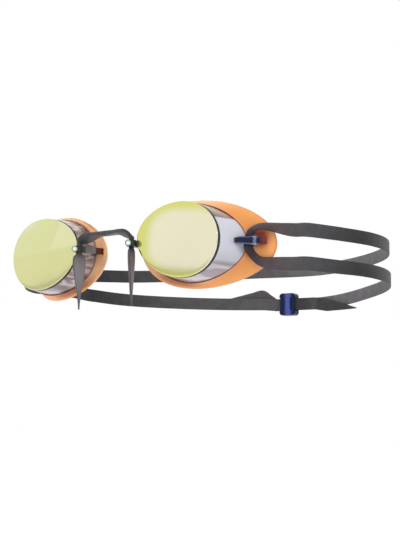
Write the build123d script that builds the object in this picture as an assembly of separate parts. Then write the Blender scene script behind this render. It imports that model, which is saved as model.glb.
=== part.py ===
from build123d import *
import math
import os

os.makedirs("parts", exist_ok=True)

# Swim goggles in millimetres. X runs across the face, Y from the lens faces towards the
# back of the head, Z up. The origin is midway between the two lens faces, in their plane.

# Placing of an eye cup: the lens centre, the toe-out about Z and the droop at the temple.
CUP_SPACING = 41.9
CUP_TOE = 2.9
CUP_DROOP = 6.0

# Lens face: half sizes, and how much taller the temple half is than the nose half.
LENS_HALF_W = 22.9
LENS_HALF_H = 17.0
LENS_EGG = 2.0
LENS_THICK = 2.2
LENS_EDGE_ROUND = 0.5

# Cup wall: it widens evenly from the lens face to this outline at WALL_DEPTH.
WALL_DEPTH = 14.0
RIM_SHIFT_U = 3.1
RIM_SHIFT_V = -1.2
RIM_HALF_W = 25.9
RIM_HALF_H = 18.0
RIM_EGG = -1.4
CUP_WALL = 1.5

# Seam where the gasket meets the wall: mean depth, temple sweep, lift, bow and skew.
SEAM_DEPTH = 11.9
SEAM_SWEEP = 0.8
SEAM_LIFT = 0.5
SEAM_BOW = 1.3
SEAM_SKEW = 0.7

# Outer edge of the soft gasket. Its depth follows the face: mean, temple sweep and bow.
EDGE_SHIFT_U = 3.4
EDGE_SHIFT_V = -0.7
EDGE_HALF_W = 33.0
EDGE_HALF_H = 19.8
EDGE_EGG = 0.5
EDGE_TILT = 1.3
EDGE_DEPTH = 16.8
EDGE_SWEEP = 7.2
EDGE_BOW = 3.2
EDGE_SKEW = 0.7
GASKET_SKIN = 1.5
GASKET_GRIP = 0.9
GASKET_LIP = 1.0
GASKET_STEP_TEMPLE = 0.15
GASKET_STEP_NOSE = 1.1

# Nose post: a bar on the nose side of the cup with an eye for the band and a ball end.
POST_X = 16.6
POST_Y = -1.9
POST_Z = -0.15
POST_THICK = 1.9
POST_HEIGHT = 3.0
POST_FOOT_X = 14.9
POST_FOOT_Y = 10.4
EYE_WALL = 0.9
BALL_R = 1.5
BALL_REACH = 2.55

# Nose band: neck, flat arch and leaf-shaped tail.
NECK_R = 1.0
NECK_CLEARANCE = 0.3
BAND_WIDTH = 5.2
BAND_THICK = 1.2
ARCH_WIDTH = 6.4
ARCH_THICK = 1.8
BAND_TOE = 15.0
SHOULDER_TOE = 30.0
ARCH_RISE = 6.0
ARCH_Y = -0.6
TAIL_LENGTH = 28.8
TAIL_TIP = 0.9

# Temple clip: a blue bar that stands off the wall and carries the loop of the strap.
CLIP_DEPTH = 8.6
CLIP_THICK = 1.6
CLIP_HEIGHT = 3.1
CLIP_RUN = 9.8
CLIP_TAIL = 4.6
CLIP_SINK = 2.4
CLIP_TILT = 5.0
CLIP_LIFT = 1.0

# Head strap: one elastic band, run round both clips and doubled behind the head.
STRAP_WIDTH = 6.5
STRAP_THICK = 1.2
STRAP_GAP = 0.7
LOOP_HALF_WIDTH = 80.0
SIDE_END_Y = 90.0
SIDE_SPLIT_Y = 60.0
LAYER_GAP = 0.3
# Heights of each strand every 30 degrees round the head, from the right side strap to the left.
SPLIT_STEP = 30
ARC_STEP = 5
CUT_STEPS = 3
UPPER_HEIGHTS = [6.3, 6.7, 6.7, 5.8, 4.1, 4.0, 1.9, -0.9, -2.5]
LOWER_HEIGHTS = [-9.4, -8.8, -9.3, -10.9, -14.3, -13.7, -13.2, -13.0, -12.2]
# How the band leaves a clip: place of the loop along the clip, then steps (out, back, up)
# from the middle of the loop with the direction of the band's width as it turns on edge.
LOOP_PLACE = 0.62
LOOP_UPPER = [
    (0.9, 1.0, 4.1, (0.1, 0.95, -0.3)),
    (3.1, 2.9, 6.4, (-0.6, 0.75, 0.1)),
    (5.2, 7.6, 6.7, (-0.8, 0.35, 0.45)),
    (7.1, 15.1, 6.7, (-0.6, 0.0, 0.8)),
    (7.7, 23.6, 7.1, (-0.3, 0.0, 0.95)),
    (7.6, 34.1, 7.9, (-0.1, 0.0, 1.0)),
]
LOOP_LOWER = [
    (1.0, 0.9, -4.3, (0.1, 0.95, 0.3)),
    (3.2, 3.1, -7.2, (-0.4, 0.75, -0.5)),
    (5.2, 7.6, -8.5, (-0.45, 0.3, -0.85)),
    (7.0, 15.1, -8.6, (-0.25, 0.0, -0.95)),
    (7.6, 23.6, -8.2, (-0.1, 0.0, -1.0)),
    (7.6, 34.1, -7.8, (0.0, 0.0, -1.0)),
]

# Slide buckle on the lower back strand, where the two ends of the band overlap.
STRAIGHT_ANGLE = 102.0
STRAIGHT_LENGTH = 24.0
BUCKLE_OFFSET = 3.5
BUCKLE_LENGTH = 9.4
BUCKLE_BAR = 1.2
BUCKLE_RAIL = 2.6
BUCKLE_CENTRE_BAR = 3.2
BUCKLE_END_BAR = 1.8
BUCKLE_CLEARANCE = 0.25
TAIL_PAST_RIGHT = 43.0
TAIL_PAST_LEFT = 37.5
TAIL_CUT_RIGHT = 22.0
TAIL_CUT_LEFT = 18.0
TAIL_POINT = 1.0
TAIL_LIFT_LEFT = 4.6
TAIL_DROP_RIGHT = 2.2
BUCKLE_ROUND = 1.8

OUTLINE_POINTS = 32


# ---------------------------------------------------------------- small helpers

def cup_location():
    """The frame of the right-hand cup: X to the temple, Y back, Z up."""
    return Pos(CUP_SPACING, 0, 0) * Rot(0, 0, CUP_TOE) * Rot(0, CUP_DROOP, 0)


def outline_point(shift_u, shift_v, half_w, half_h, egg, angle, depth):
    """One point of an egg-shaped outline at a depth behind the lens face."""
    u = shift_u + half_w * math.cos(angle)
    v = shift_v + math.sin(angle) * (half_h + egg * math.cos(angle))
    return Vector(u, depth, v)


def wall_point(angle, depth, inset=0.0):
    """A point on the cup wall, which widens evenly from the lens face to the rim."""
    share = depth / WALL_DEPTH
    return outline_point(
        RIM_SHIFT_U * share,
        RIM_SHIFT_V * share,
        LENS_HALF_W + (RIM_HALF_W - LENS_HALF_W) * share - inset,
        LENS_HALF_H + (RIM_HALF_H - LENS_HALF_H) * share - inset,
        LENS_EGG + (RIM_EGG - LENS_EGG) * share,
        angle,
        depth,
    )


def seam_depth(angle):
    """Depth behind the lens face at which the gasket meets the wall."""
    depth = SEAM_DEPTH + SEAM_SWEEP * math.cos(angle) + SEAM_LIFT * math.sin(angle)
    return depth + SEAM_BOW * math.cos(2 * angle) + SEAM_SKEW * math.sin(2 * angle)


def edge_point(angle):
    """A point on the outer edge of the gasket."""
    depth = EDGE_DEPTH + EDGE_SWEEP * math.cos(angle)
    depth += EDGE_BOW * math.cos(2 * angle) + EDGE_SKEW * math.sin(2 * angle)
    shift_v = EDGE_SHIFT_V + EDGE_TILT * math.cos(angle)
    return outline_point(
        EDGE_SHIFT_U, shift_v, EDGE_HALF_W, EDGE_HALF_H, EDGE_EGG, angle, depth
    )


def angles():
    return [2 * math.pi * i / OUTLINE_POINTS for i in range(OUTLINE_POINTS)]


def ring_edge(point_at):
    """A closed smooth curve through point_at(angle)."""
    return Edge.make_spline([point_at(angle) for angle in angles()], periodic=True)


def ring_solid(rings):
    """A closed ring-shaped solid whose skin runs from each closed curve to the next."""
    faces = []
    for index, ring in enumerate(rings):
        faces.append(Face.make_surface_from_curves(ring, rings[(index + 1) % len(rings)]))
    return Solid(Shell(faces))


def ribbon(points, thickness, height):
    """A strip of even thickness along points in plan, raised by height about Z = 0."""
    half = thickness / 2
    left = []
    right = []
    for index, point in enumerate(points):
        before = points[max(index - 1, 0)]
        after = points[min(index + 1, len(points) - 1)]
        run_in = (point - before).normalized() if index > 0 else (after - point).normalized()
        run_out = (after - point).normalized() if index < len(points) - 1 else run_in
        middle = (run_in + run_out).normalized()
        reach = half / max(middle.dot(run_in), 0.4)
        side = Vector(-middle.Y, middle.X, 0) * reach
        left.append(point + side)
        right.append(point - side)
    outline = Wire.make_polygon(left + right[::-1], close=True)
    return Solid.extrude(Face(outline), Vector(0, 0, height)).moved(Pos(0, 0, -height / 2))


def band(stations, start_along=None, end_along=None):
    """A flat band through stations of (centre, width direction, width, thickness)."""
    sections = []
    last = len(stations) - 1
    for index, (centre, across, width, thickness) in enumerate(stations):
        before = stations[max(index - 1, 0)][0]
        after = stations[min(index + 1, last)][0]
        along = (after - before).normalized()
        if index == 0 and start_along:
            along = start_along
        if index == last and end_along:
            along = end_along
        across = (across - along * across.dot(along)).normalized()
        half_w = across * (width / 2)
        half_t = along.cross(across) * (thickness / 2)
        corners = [half_w + half_t, half_t - half_w, -half_w - half_t, half_w - half_t]
        sections.append([centre + corner for corner in corners])
    faces = [Face(Wire.make_polygon(sections[0])), Face(Wire.make_polygon(sections[-1]))]
    for near, far in zip(sections, sections[1:]):
        for side in range(4):
            near_edge = Edge.make_line(near[side - 1], near[side])
            far_edge = Edge.make_line(far[side - 1], far[side])
            faces.append(Face.make_surface_from_curves(near_edge, far_edge))
    return Solid(Shell(faces))


def mirrored(shape):
    return shape.mirror(Plane.YZ)


# ---------------------------------------------------------------- eye cup

def make_lens():
    """Front window: a plate whose edge follows the taper of the cup wall."""
    front = Wire([ring_edge(lambda angle: wall_point(angle, 0))])
    back = Wire([ring_edge(lambda angle: wall_point(angle, LENS_THICK))])
    plate = Solid.make_loft([front, back], ruled=True)
    face = plate.faces().sort_by(Axis.Y)[0]
    return plate.fillet(LENS_EDGE_ROUND, face.edges())


def make_cup():
    """Side wall from the back of the lens to just inside the gasket, open for the eye."""
    return ring_solid([
        ring_edge(lambda angle: wall_point(angle, LENS_THICK)),
        ring_edge(lambda angle: wall_point(angle, seam_depth(angle) + GASKET_GRIP)),
        ring_edge(lambda angle: wall_point(angle, seam_depth(angle) + GASKET_GRIP, CUP_WALL)),
        ring_edge(lambda angle: wall_point(angle, LENS_THICK, CUP_WALL)),
    ])


def make_gasket():
    """Soft skirt that grips the rim inside and out and flares to follow the face."""
    inner = CUP_WALL + GASKET_LIP
    seat = GASKET_GRIP + GASKET_SKIN

    def step(angle):
        nose_share = (1 - math.cos(angle)) / 2
        return GASKET_STEP_TEMPLE + (GASKET_STEP_NOSE - GASKET_STEP_TEMPLE) * nose_share

    def edge_back(angle):
        run = edge_point(angle) - wall_point(angle, seam_depth(angle))
        radial = Vector(run.X, 0, run.Z)
        normal = Vector(0, radial.length, 0) - radial.normalized() * run.Y
        return edge_point(angle) + normal.normalized() * GASKET_SKIN

    return ring_solid([
        ring_edge(lambda angle: wall_point(angle, seam_depth(angle), 0.3)),
        ring_edge(lambda angle: wall_point(angle, seam_depth(angle), -step(angle))),
        ring_edge(edge_point),
        ring_edge(edge_back),
        ring_edge(lambda angle: wall_point(angle, seam_depth(angle) + seat, inner)),
        ring_edge(lambda angle: wall_point(angle, seam_depth(angle), inner)),
    ])


# ---------------------------------------------------------------- nose side

def make_nose_post():
    """Bar with an eye for the neck of the nose band and a ball in front of it."""
    eye = Vector(POST_X, POST_Y, 0)
    foot = Vector(POST_FOOT_X, POST_FOOT_Y, 0)
    seat = (cup_location() * Pos(wall_point(math.pi, POST_FOOT_Y, CUP_WALL / 2))).position
    bar = ribbon([eye, foot, Vector(seat.X, seat.Y, 0)], POST_THICK, POST_HEIGHT)
    eye_r = NECK_R + NECK_CLEARANCE
    boss = Pos(eye.X, eye.Y, 0) * Cylinder(eye_r + EYE_WALL, POST_HEIGHT)
    along = (eye - foot).normalized()
    ball_at = eye + Vector(0.15, -1, 0).normalized() * BALL_REACH
    ball = Pos(ball_at.X, ball_at.Y, 0) * Sphere(BALL_R)
    stem = ribbon([eye + along * eye_r, ball_at], POST_THICK * 0.8, POST_HEIGHT * 0.6)
    hole = Pos(eye.X, eye.Y, 0) * Cylinder(eye_r, POST_HEIGHT * 2)
    return Pos(0, 0, POST_Z) * (bar + boss + ball + stem - hole)


def make_nose_bridge():
    """Soft band: an arch over the nose, a neck through each eye and a leaf tail below."""
    toe = math.radians(BAND_TOE)
    across = Vector(-math.sin(toe), math.cos(toe), 0)
    turn = math.radians(SHOULDER_TOE)
    turned = Vector(-math.sin(turn), math.cos(turn), 0)
    level = Vector(0, 1, 0)
    neck_half = POST_HEIGHT / 2 + NECK_CLEARANCE + 0.2
    neck_w = NECK_R * 1.8
    top = POST_Z + neck_half
    rise = ARCH_RISE - top
    thick = ARCH_THICK
    shoulder = [
        (Vector(POST_X, POST_Y, top), across, neck_w, neck_w),
        (Vector(POST_X - 0.6, POST_Y + 0.1, top + rise * 0.16), turned, ARCH_WIDTH * 0.4, thick * 0.8),
        (Vector(POST_X - 1.9, ARCH_Y - 1.0, top + rise * 0.34), turned, ARCH_WIDTH * 0.85, thick),
        (Vector(POST_X - 4.2, ARCH_Y - 0.3, top + rise * 0.46), turned, ARCH_WIDTH, thick),
        (Vector(POST_X - 7.1, ARCH_Y, top + rise * 0.8), turned + level, ARCH_WIDTH, thick),
        (Vector(POST_X - 10.4, ARCH_Y, top + rise * 0.98), turned + level, ARCH_WIDTH * 0.9, thick),
        (Vector(POST_X * 0.2, ARCH_Y, ARCH_RISE), level, ARCH_WIDTH * 0.85, thick),
    ]
    other = []
    for centre, width_dir, width, thickness in reversed(shoulder):
        flipped = Vector(-centre.X, centre.Y, centre.Z)
        other.append((flipped, Vector(-width_dir.X, width_dir.Y, 0), width, thickness))
    arch = band(shoulder + other, Vector(0, 0, 1), Vector(0, 0, -1))

    start = POST_Z - neck_half
    leaf = TAIL_LENGTH - 6
    profile = [
        (0.0, neck_w, neck_w),
        (2.6, BAND_WIDTH * 0.9, BAND_THICK),
        (6.4, BAND_WIDTH, BAND_THICK),
        (leaf * 0.53, BAND_WIDTH * 0.88, BAND_THICK),
        (leaf * 0.75, BAND_WIDTH * 0.6, BAND_THICK * 0.9),
        (leaf * 0.94, BAND_WIDTH * 0.25, BAND_THICK * 0.8),
        (leaf, TAIL_TIP * 1.2, TAIL_TIP),
        (TAIL_LENGTH + start, TAIL_TIP, TAIL_TIP),
    ]
    stations = []
    for drop, width, thickness in profile:
        stations.append((Vector(POST_X, POST_Y, start - drop), across, width, thickness))
    tail = band(stations)
    neck = Pos(POST_X, POST_Y, POST_Z) * Cylinder(NECK_R, 2 * neck_half + 0.6)
    return arch + tail + neck + mirrored(tail) + mirrored(neck)


# ---------------------------------------------------------------- temple side

def clip_frame():
    """Right-hand clip: X runs back along the cup wall, Y out from it, Z up."""
    front = wall_point(0, CLIP_DEPTH)
    rim = wall_point(0, WALL_DEPTH)
    along = Vector(rim.X - front.X, rim.Y - front.Y, 0)
    plane = Plane(origin=(front.X, front.Y, 0), x_dir=along, z_dir=(0, 0, 1))
    return cup_location() * Pos(0, 0, CLIP_LIFT) * plane.location * Rot(0, -CLIP_TILT, 0)


def clip_standoff():
    """Height of the bar's middle above the wall, which leaves the strap its gap."""
    return STRAP_THICK + 2 * STRAP_GAP + CLIP_THICK / 2


def make_strap_clip():
    """Bar on a front foot, sinking behind into the gasket. Plan points are (back, out)."""
    out = -clip_standoff()
    points = [
        Vector(0, 0.4, 0),
        Vector(0, out, 0),
        Vector(CLIP_RUN, out, 0),
        Vector(CLIP_RUN + CLIP_TAIL, out + CLIP_SINK * 0.6, 0),
        Vector(CLIP_RUN + CLIP_TAIL + 1.6, out + CLIP_SINK * 1.8, 0),
    ]
    bar = ribbon(points, CLIP_THICK, CLIP_HEIGHT)
    return clip_frame() * bar


# ---------------------------------------------------------------- head strap

def smooth_at(values, place):
    """A smooth curve through evenly spaced values, read at a place counted in steps."""
    first = min(int(place), len(values) - 2)
    part = place - first
    padded = [values[0]] + list(values) + [values[-1]]
    p0, p1, p2, p3 = padded[first:first + 4]
    slope_in = (p2 - p0) / 2
    slope_out = (p3 - p1) / 2
    rise = p2 - p1
    bend = 3 * rise - 2 * slope_in - slope_out
    turn = slope_in + slope_out - 2 * rise
    return p1 + slope_in * part + bend * part ** 2 + turn * part ** 3


def height_at(heights, angle):
    """Height of a strand at an angle round the head: 0 right, 90 behind, 180 left."""
    return smooth_at(heights, (angle + SPLIT_STEP) / SPLIT_STEP)


def plan_point(angle, offset=0.0):
    """Plan position of the strap, which runs straight back before and after the half circle."""
    radius = LOOP_HALF_WIDTH + offset
    if angle < 0:
        return radius, SIDE_END_Y + (SIDE_END_Y - SIDE_SPLIT_Y) * angle / SPLIT_STEP
    if angle > 180:
        return -radius, SIDE_END_Y - (SIDE_END_Y - SIDE_SPLIT_Y) * (angle - 180) / SPLIT_STEP
    turn = math.radians(angle)
    return radius * math.cos(turn), SIDE_END_Y + radius * math.sin(turn)


def strand_station(heights, angle, offset=0.0):
    """A section of a strand, upright, at an angle round the head."""
    x, y = plan_point(angle, offset)
    return Vector(x, y, height_at(heights, angle)), Vector(0, 0, 1), STRAP_WIDTH, STRAP_THICK


def make_back_upper():
    """Single upper strand from one side strap to the other."""
    stops = range(-SPLIT_STEP, 180 + SPLIT_STEP + 1, ARC_STEP)
    stations = [strand_station(UPPER_HEIGHTS, angle) for angle in stops]
    return band(stations, Vector(0, 1, 0), Vector(0, -1, 0))


def make_back_lower(side):
    """Lower strand from one side to its pointed tail beyond the buckle."""
    layer = side * (STRAP_THICK + LAYER_GAP) / 2
    per_mm = math.degrees(1 / LOOP_HALF_WIDTH)
    near = STRAIGHT_ANGLE - side * STRAIGHT_LENGTH / 2 * per_mm
    far = STRAIGHT_ANGLE + side * STRAIGHT_LENGTH / 2 * per_mm
    start = -SPLIT_STEP if side > 0 else 180 + SPLIT_STEP
    tip = STRAIGHT_ANGLE + side * per_mm * (TAIL_PAST_LEFT if side > 0 else TAIL_PAST_RIGHT)
    blunt = tip - side * per_mm * (TAIL_CUT_LEFT if side > 0 else TAIL_CUT_RIGHT)
    lift = TAIL_LIFT_LEFT if side > 0 else -TAIL_DROP_RIGHT
    stations = []
    angle = start
    while side * (near - angle) > ARC_STEP / 2:
        share = min(abs(angle - start) / 90, 1)
        stations.append(strand_station(LOWER_HEIGHTS, angle, layer * share))
        angle += side * ARC_STEP
    for stop in (near, far):
        stations.append(level_station(stop, layer, 0))
    count = max(round(abs(blunt - far) / ARC_STEP), 1)
    for step in range(1, count + 1):
        share = step / count
        stations.append(level_station(far + (blunt - far) * share, layer, lift * share))
    for step in range(1, CUT_STEPS + 1):
        share = step / CUT_STEPS
        loss = (STRAP_WIDTH - TAIL_POINT) * share
        angle = blunt + (tip - blunt) * share
        stations.append(level_station(angle, layer, lift - loss / 2, STRAP_WIDTH - loss))
    if side > 0:
        return band(stations, Vector(0, 1, 0))
    flipped = [(Vector(-at.X, at.Y, at.Z), *rest) for at, *rest in stations]
    return mirrored(band(flipped, Vector(0, 1, 0)))


def level_station(angle, offset, lift, width=STRAP_WIDTH):
    """A section of the doubled stretch, which stays level with the buckle."""
    x, y = plan_point(angle, offset)
    z = height_at(LOWER_HEIGHTS, STRAIGHT_ANGLE) + lift
    return Vector(x, y, z), Vector(0, 0, 1), width, STRAP_THICK


def loop_centre():
    """Middle of the strap where it passes between the right-hand clip and the wall."""
    out = -(STRAP_GAP + STRAP_THICK / 2)
    return (clip_frame() * Pos(CLIP_RUN * LOOP_PLACE, out, 0)).position


def make_side_strap(upper_z, lower_z):
    """The loop round the right-hand clip, with the twist that turns the band on edge."""
    centre = loop_centre()
    frame = clip_frame()
    back = (frame * Pos(1, 0, 0)).position - frame.position
    halves = []
    for sign, route, end_z in ((1, LOOP_UPPER, upper_z), (-1, LOOP_LOWER, lower_z)):
        end_change = end_z - centre.Z - route[-1][2]
        half = []
        for outwards, backwards, rise, across in route:
            settled = backwards / (SIDE_SPLIT_Y - centre.Y)
            point = centre + Vector(outwards, backwards, rise + end_change * settled ** 2)
            half.append((point, Vector(*across), STRAP_WIDTH, STRAP_THICK))
        end = Vector(LOOP_HALF_WIDTH, SIDE_SPLIT_Y, end_z)
        half.append((end, Vector(0, 0, sign), STRAP_WIDTH, STRAP_THICK))
        halves.append(half)
    apex = (centre, back, STRAP_WIDTH, STRAP_THICK)
    route = halves[0][::-1] + [apex] + halves[1]
    return band(route, Vector(0, -1, 0), Vector(0, 1, 0))


# ---------------------------------------------------------------- slide buckle

def make_buckle():
    """Three-bar slide: centre bar inside the band, end bars outside, rails above and below."""
    pack = 2 * STRAP_THICK + LAYER_GAP + 2 * BUCKLE_CLEARANCE
    depth = pack + 2 * BUCKLE_BAR
    height = STRAP_WIDTH + 2 * BUCKLE_CLEARANCE + 2 * BUCKLE_RAIL
    rail_z = (height - BUCKLE_RAIL) / 2
    bar_y = (pack + BUCKLE_BAR) / 2
    end_x = (BUCKLE_LENGTH - BUCKLE_END_BAR) / 2
    solid = Pos(0, -bar_y, 0) * Box(BUCKLE_CENTRE_BAR, BUCKLE_BAR, height)
    for sign in (1, -1):
        solid += Pos(0, 0, sign * rail_z) * Box(BUCKLE_LENGTH, depth, BUCKLE_RAIL)
        solid += Pos(sign * end_x, bar_y, 0) * Box(BUCKLE_END_BAR, BUCKLE_BAR, height)
    corners = solid.edges().filter_by(Axis.Y).filter_by(
        lambda edge: abs(edge.center().X) > BUCKLE_LENGTH / 2 - 0.1
        and abs(edge.center().Z) > height / 2 - 0.1
    )
    solid = fillet(corners, BUCKLE_ROUND)
    return buckle_location() * solid


def buckle_location():
    """Buckle frame: X along the band, Y outwards, Z up."""
    turn = math.radians(STRAIGHT_ANGLE)
    chord = LOOP_HALF_WIDTH * math.cos(STRAIGHT_LENGTH / 2 / LOOP_HALF_WIDTH)
    x = chord * math.cos(turn)
    y = SIDE_END_Y + chord * math.sin(turn)
    z = height_at(LOWER_HEIGHTS, STRAIGHT_ANGLE)
    return Pos(x, y, z) * Rot(0, 0, STRAIGHT_ANGLE - 90) * Pos(-BUCKLE_OFFSET, 0, 0)


# ---------------------------------------------------------------- the assembly

def save(name, shape):
    export_step(shape, "parts/" + name + ".step")


def main():
    placed = cup_location()
    lens = placed * make_lens()
    cup = placed * make_cup()
    post = make_nose_post() - cup
    clip = make_strap_clip() - cup
    gasket = placed * make_gasket() - cup - post - clip
    eye_cup = {
        "lens": lens,
        "cup": cup,
        "gasket": gasket,
        "nose_post": post,
        "strap_clip": clip,
    }
    for name, shape in eye_cup.items():
        save(name + "_right", shape)
        save(name + "_left", mirrored(shape))
    save("nose_bridge", make_nose_bridge())
    right = make_side_strap(UPPER_HEIGHTS[0], LOWER_HEIGHTS[0])
    left = make_side_strap(UPPER_HEIGHTS[-1], LOWER_HEIGHTS[-1])
    save("strap_side_right", right)
    save("strap_side_left", mirrored(left))
    save("strap_back_upper", make_back_upper())
    save("strap_back_lower_right", make_back_lower(1))
    save("strap_back_lower_left", make_back_lower(-1))
    save("buckle", make_buckle())
    slide = buckle_location()
    along = (slide * Pos(1, 0, 0)).position - slide.position
    print("cup hinge at", POST_X, POST_Y, "strap loop at", loop_centre())
    print("buckle at", slide.position, "along", along)


main()
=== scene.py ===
import bpy
import bmesh
import math
from mathutils import Matrix, Vector


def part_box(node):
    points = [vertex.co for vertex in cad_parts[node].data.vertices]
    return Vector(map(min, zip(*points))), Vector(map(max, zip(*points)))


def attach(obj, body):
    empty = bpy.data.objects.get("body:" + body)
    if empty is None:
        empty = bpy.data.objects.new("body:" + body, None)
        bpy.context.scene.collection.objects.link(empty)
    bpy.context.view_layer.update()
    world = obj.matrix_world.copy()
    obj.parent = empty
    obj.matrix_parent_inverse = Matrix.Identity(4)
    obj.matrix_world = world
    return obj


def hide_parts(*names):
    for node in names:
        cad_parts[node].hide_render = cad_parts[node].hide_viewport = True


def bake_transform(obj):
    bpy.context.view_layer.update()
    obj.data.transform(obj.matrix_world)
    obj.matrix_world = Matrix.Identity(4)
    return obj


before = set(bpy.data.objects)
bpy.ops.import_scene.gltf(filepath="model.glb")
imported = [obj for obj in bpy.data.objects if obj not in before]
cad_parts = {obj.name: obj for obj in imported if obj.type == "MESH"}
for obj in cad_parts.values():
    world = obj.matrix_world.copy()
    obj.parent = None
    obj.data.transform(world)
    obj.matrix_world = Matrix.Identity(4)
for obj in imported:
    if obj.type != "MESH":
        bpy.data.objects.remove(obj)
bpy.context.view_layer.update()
MM = 0.001


# ---------------------------------------------------------------- eye cup wall
# The wall of each cup is injection-moulded clear polycarbonate with a smoky silver tint.
# It flares back from the lens in an egg-shaped outline and is bonded to the lens in front,
# where the groove shows dark cement, painted darker as the groove's shade, and gripped by the
# gasket behind.

cup_spacing = 41.9
cup_toe = math.radians(2.9)
cup_droop = math.radians(6.0)
lens_half_width = 22.9
lens_half_height = 17.0
lens_egg = 2.0
wall_depth = 14.0
rim_shift_across = 3.1
rim_shift_up = -1.2
rim_half_width = 25.9
rim_half_height = 18.0
rim_egg = -1.4
wall_thickness = 1.5
lens_thickness = 2.2
cup_points = 128
# Depth of the seam round the cup: its mean, then one swing a turn and two swings a turn.
seam_wave = (11.9, 0.8, 0.5, 1.3, 0.7)
cup_place = (
    Matrix.Translation((cup_spacing, 0, 0))
    @ Matrix.Rotation(cup_toe, 4, "Z")
    @ Matrix.Rotation(cup_droop, 4, "Y")
)
around = [2 * math.pi * step / cup_points for step in range(cup_points)]


def colour(red, green, blue):
    """A colour written as 0 to 255 display values, as the linear values a material takes."""
    linear = []
    for value in (red, green, blue):
        value = value / 255
        linear.append(value / 12.92 if value <= 0.04045 else ((value + 0.055) / 1.055) ** 2.4)
    return (*linear, 1.0)


def wall_point(angle, depth, inset=0.0):
    """A point on the cup wall, at an angle round the cup from the temple side."""
    share = depth / wall_depth
    half_width = lens_half_width + (rim_half_width - lens_half_width) * share - inset
    half_height = lens_half_height + (rim_half_height - lens_half_height) * share - inset
    egg = lens_egg + (rim_egg - lens_egg) * share
    return Vector((
        rim_shift_across * share + half_width * math.cos(angle),
        depth,
        rim_shift_up * share + math.sin(angle) * (half_height + egg * math.cos(angle)),
    ))


def wave(angle, mean, across, up, across_twice, up_twice):
    """A smooth closed wave round the cup, made of one swing and two swings a turn."""
    once = across * math.cos(angle) + up * math.sin(angle)
    return mean + once + across_twice * math.cos(2 * angle) + up_twice * math.sin(2 * angle)


def seam_depth(angle):
    """Depth behind the lens face at which the gasket meets the wall."""
    return wave(angle, *seam_wave)


def soft_step(value, start, end):
    """Rises smoothly from 0 at start to 1 at end."""
    share = min(max((value - start) / (end - start), 0), 1)
    return share * share * (3 - 2 * share)


def on_face(point, side):
    """A point of the right cup placed in the shared frame in metres, mirrored for the left."""
    placed = cup_place @ point
    return Vector((placed.x * side, placed.y, placed.z)) * MM


def close_shell(mesh):
    """Merges doubled points and turns every face of a closed shell outwards."""
    shell = bmesh.new()
    shell.from_mesh(mesh)
    bmesh.ops.remove_doubles(shell, verts=shell.verts, dist=0.002 * MM)
    bmesh.ops.recalc_face_normals(shell, faces=shell.faces)
    if shell.calc_volume(signed=True) < 0:
        bmesh.ops.reverse_faces(shell, faces=shell.faces)
    shell.to_mesh(mesh)
    shell.free()
    mesh.polygons.foreach_set("use_smooth", [True] * len(mesh.polygons))


def ring_piece(name, rings, side, values=None, closed=True):
    """A piece skinned through rings of points; values gives one number for each ring point."""
    points = [on_face(point, side) for ring in rings for point in ring]
    count = len(rings[0])
    faces = []
    for row in range(len(rings) if closed else len(rings) - 1):
        after = (row + 1) % len(rings)
        for column in range(count):
            beside = (column + 1) % count
            faces.append((
                row * count + column,
                row * count + beside,
                after * count + beside,
                after * count + column,
            ))
    if not closed:
        for row in (0, len(rings) - 1):
            start = row * count
            centre = sum(points[start:start + count], Vector()) / count
            points.append(centre)
            for column in range(count):
                faces.append((start + column, start + (column + 1) % count, len(points) - 1))
    mesh = bpy.data.meshes.new(name)
    mesh.from_pydata(points, [], faces)
    for label, numbers in (values or {}).items():
        layer = mesh.attributes.new(label, "FLOAT", "POINT")
        poles = [] if closed else [numbers[0], numbers[-1]]
        layer.data.foreach_set("value", numbers + poles)
    close_shell(mesh)
    return new_piece(name, mesh)


def new_piece(name, mesh):
    """An object for a mesh that already has its place in it."""
    piece = bpy.data.objects.new(name, mesh)
    bpy.context.collection.objects.link(piece)
    return piece


def fill(node, values):
    """Fills a node's inputs, by name or number, with plain values or other nodes' outputs."""
    for label, value in values.items():
        if isinstance(value, bpy.types.NodeSocket):
            node.id_data.links.new(value, node.inputs[label])
        else:
            node.inputs[label].default_value = value


def add_node(tree, kind, values=None, **settings):
    """Adds a node with its settings and fills its inputs."""
    node = tree.nodes.new(kind)
    for label, value in settings.items():
        setattr(node, label, value)
    fill(node, values or {})
    return node


def new_material(name):
    """An empty node material: its tree, its Principled BSDF and the material itself."""
    material = bpy.data.materials.new(name)
    material.use_nodes = True
    tree = material.node_tree
    return tree, tree.nodes["Principled BSDF"], material


def noise(tree, scale, detail=3.0, stretch=(1, 1, 1)):
    """Noise on the piece's own coordinates; returns its value socket."""
    place = add_node(tree, "ShaderNodeTexCoord").outputs["Object"]
    mapping = add_node(tree, "ShaderNodeMapping", {"Vector": place, "Scale": stretch})
    texture = add_node(tree, "ShaderNodeTexNoise", {
        "Vector": mapping.outputs["Vector"], "Scale": scale, "Detail": detail,
    })
    return texture.outputs["Fac"]


def ramp(tree, value, stops):
    """A colour ramp on a value; stops are (place, colour)."""
    node = add_node(tree, "ShaderNodeValToRGB", {"Fac": value})
    bands = node.color_ramp.elements
    while len(bands) < len(stops):
        bands.new(0.5)
    for band, (place, shade) in zip(bands, stops):
        band.position = place
        band.color = shade
    return node.outputs["Color"]


def mix(tree, share, first, second, blend="MIX"):
    """Mixes two colours; each may be a socket or a plain colour, and so may share."""
    node = add_node(tree, "ShaderNodeMix", data_type="RGBA", blend_type=blend)
    fill(node, {0: share, 6: first, 7: second})
    return node.outputs[2]


def attribute(tree, name):
    """The value of a number kept on the piece's points."""
    return add_node(tree, "ShaderNodeAttribute", attribute_name=name).outputs["Fac"]


def grey(value):
    """An even grey, written as the linear value a material takes."""
    return (value, value, value, 1)


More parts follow.
